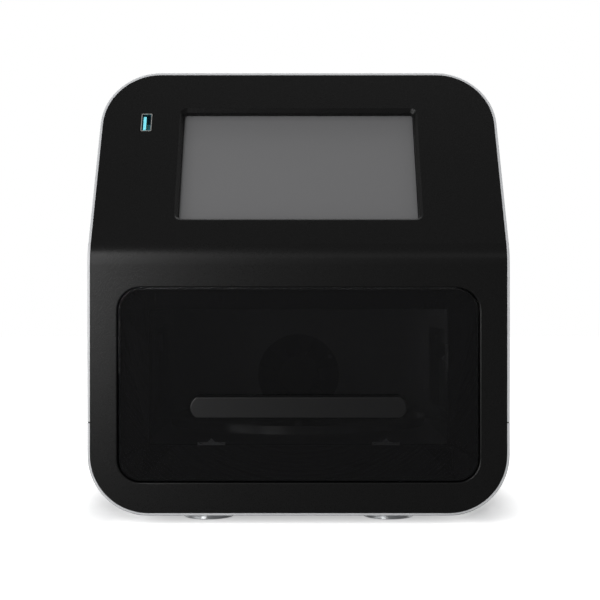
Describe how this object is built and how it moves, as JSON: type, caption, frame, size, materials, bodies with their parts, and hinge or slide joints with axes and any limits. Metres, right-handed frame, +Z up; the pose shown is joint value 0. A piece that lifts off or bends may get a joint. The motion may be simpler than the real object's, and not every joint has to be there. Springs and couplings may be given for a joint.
{
  "type": "dental lab light curing unit",
  "caption": "Bench-top light curing unit: rounded sheet-steel body, leaning touch-screen front, smoked drawer with a turntable, lit chamber, rear fan and mains inlet.",
  "frame": {"origin": "centre of the bounding box's underside, on the bench, with the drawer closed", "axes": "+Z up, the front with its drawer faces -Y, +X to the right seen from the front"},
  "size_m": [0.265, 0.3104, 0.2972],
  "materials": {
    "shell_paint": "satin silver paint",
    "black_moulding": "fine satin",
    "black_paint": "satin black paint",
    "smoked_acrylic": "polished, smoked",
    "bar_plastic": "satin",
    "bright_aluminium": "bright",
    "aluminium": "turned or extruded",
    "zinc_steel": "zinc plated",
    "clear_pane": "polished",
    "touch_screen": "polished",
    "display_grey": "matte",
    "black_plastic": "satin",
    "rubber_black": "matte",
    "circuit_board": "solder mask",
    "led_phosphor": "glossy",
    "usb_blue": "satin",
    "bronze": "machined"
  },
  "bodies": {
    "chassis": {"air_duct_plate": "bright_aluminium", "base_frame": "zinc_steel", "board_standoffs": "zinc_steel", "catch_magnets": "zinc_steel", "chamber_liner": "bright_aluminium", "circulation_fan_frame": "black_plastic", "display_bracket": "zinc_steel", "display_gasket": "rubber_black", "display_module": "display_grey", "display_screws": "zinc_steel", "exhaust_fan_frame": "black_plastic", "exhaust_fan_guard": "zinc_steel", "fan_screws": "zinc_steel", "foot_cups": "aluminium", "foot_pads": "rubber_black", "foot_screws": "zinc_steel", "front_fascia": "black_moulding", "heatsink_left": "aluminium", "heatsink_right": "aluminium", "heatsink_top": "aluminium", "inlet_pins": "zinc_steel", "inlet_screws": "zinc_steel", "interlock_sensor": "black_plastic", "led_boards": "circuit_board", "led_emitters": "led_phosphor", "light_windows": "clear_pane", "lower_shell": "shell_paint", "main_board": "circuit_board", "mains_inlet": "black_plastic", "power_supply": "black_paint", "power_switch_body": "black_plastic", "rear_panel": "black_paint", "rear_screws": "zinc_steel", "runner_outer_left": "zinc_steel", "runner_outer_right": "zinc_steel", "touch_glass": "touch_screen", "upper_shell": "shell_paint", "usb_board": "circuit_board", "usb_shell": "zinc_steel", "usb_tongue": "usb_blue"},
    "drawer": {"door_panel": "smoked_acrylic", "door_frame": "black_paint", "panel_clips": "aluminium", "pull_handle": "bar_plastic", "handle_screws": "zinc_steel", "drawer_tray": "zinc_steel", "runner_inner_left": "zinc_steel", "runner_inner_right": "zinc_steel", "turntable_motor": "zinc_steel", "motor_screws": "zinc_steel", "bearing_bush": "bronze", "catch_plates": "zinc_steel", "door_seal": "rubber_black"},
    "runner_middles": {"runner_middle_left": "zinc_steel", "runner_middle_right": "zinc_steel"},
    "turntable": {"turntable_plate": "bright_aluminium", "turntable_hub": "aluminium"},
    "circulation_rotor": {"circulation_fan_rotor": "black_plastic"},
    "exhaust_rotor": {"exhaust_fan_rotor": "black_plastic"},
    "rocker": {"power_switch_rocker": "black_plastic"}
  },
  "joints": [
    {"name": "drawer_slide", "type": "slide", "parent": "chassis", "child": "drawer", "axis": [0, -1, 0], "range_m": [0, 0.19]},
    {"name": "runner_slide", "type": "slide", "parent": "chassis", "child": "runner_middles", "axis": [0, -1, 0], "range_m": [0, 0.095]},
    {"name": "turntable_spin", "type": "hinge", "parent": "drawer", "child": "turntable", "pos_m": [0, -0.03225, 0.0545], "axis": [0, 0, 1], "continuous": true},
    {"name": "circulation_fan_spin", "type": "hinge", "parent": "chassis", "child": "circulation_rotor", "pos_m": [0, 0.08525, 0.0823], "axis": [0, -1, 0], "continuous": true},
    {"name": "exhaust_fan_spin", "type": "hinge", "parent": "chassis", "child": "exhaust_rotor", "pos_m": [0.062, 0.13425, 0.13], "axis": [0, 1, 0], "continuous": true},
    {"name": "power_rocker", "type": "hinge", "parent": "chassis", "child": "rocker", "pos_m": [0.035, 0.14705, 0.036], "axis": [1, 0, 0], "range_deg": [-22, 0]}
  ],
  "couplings": [
    {"joint": "runner_slide", "follows": "drawer_slide", "ratio": 0.5}
  ]
}
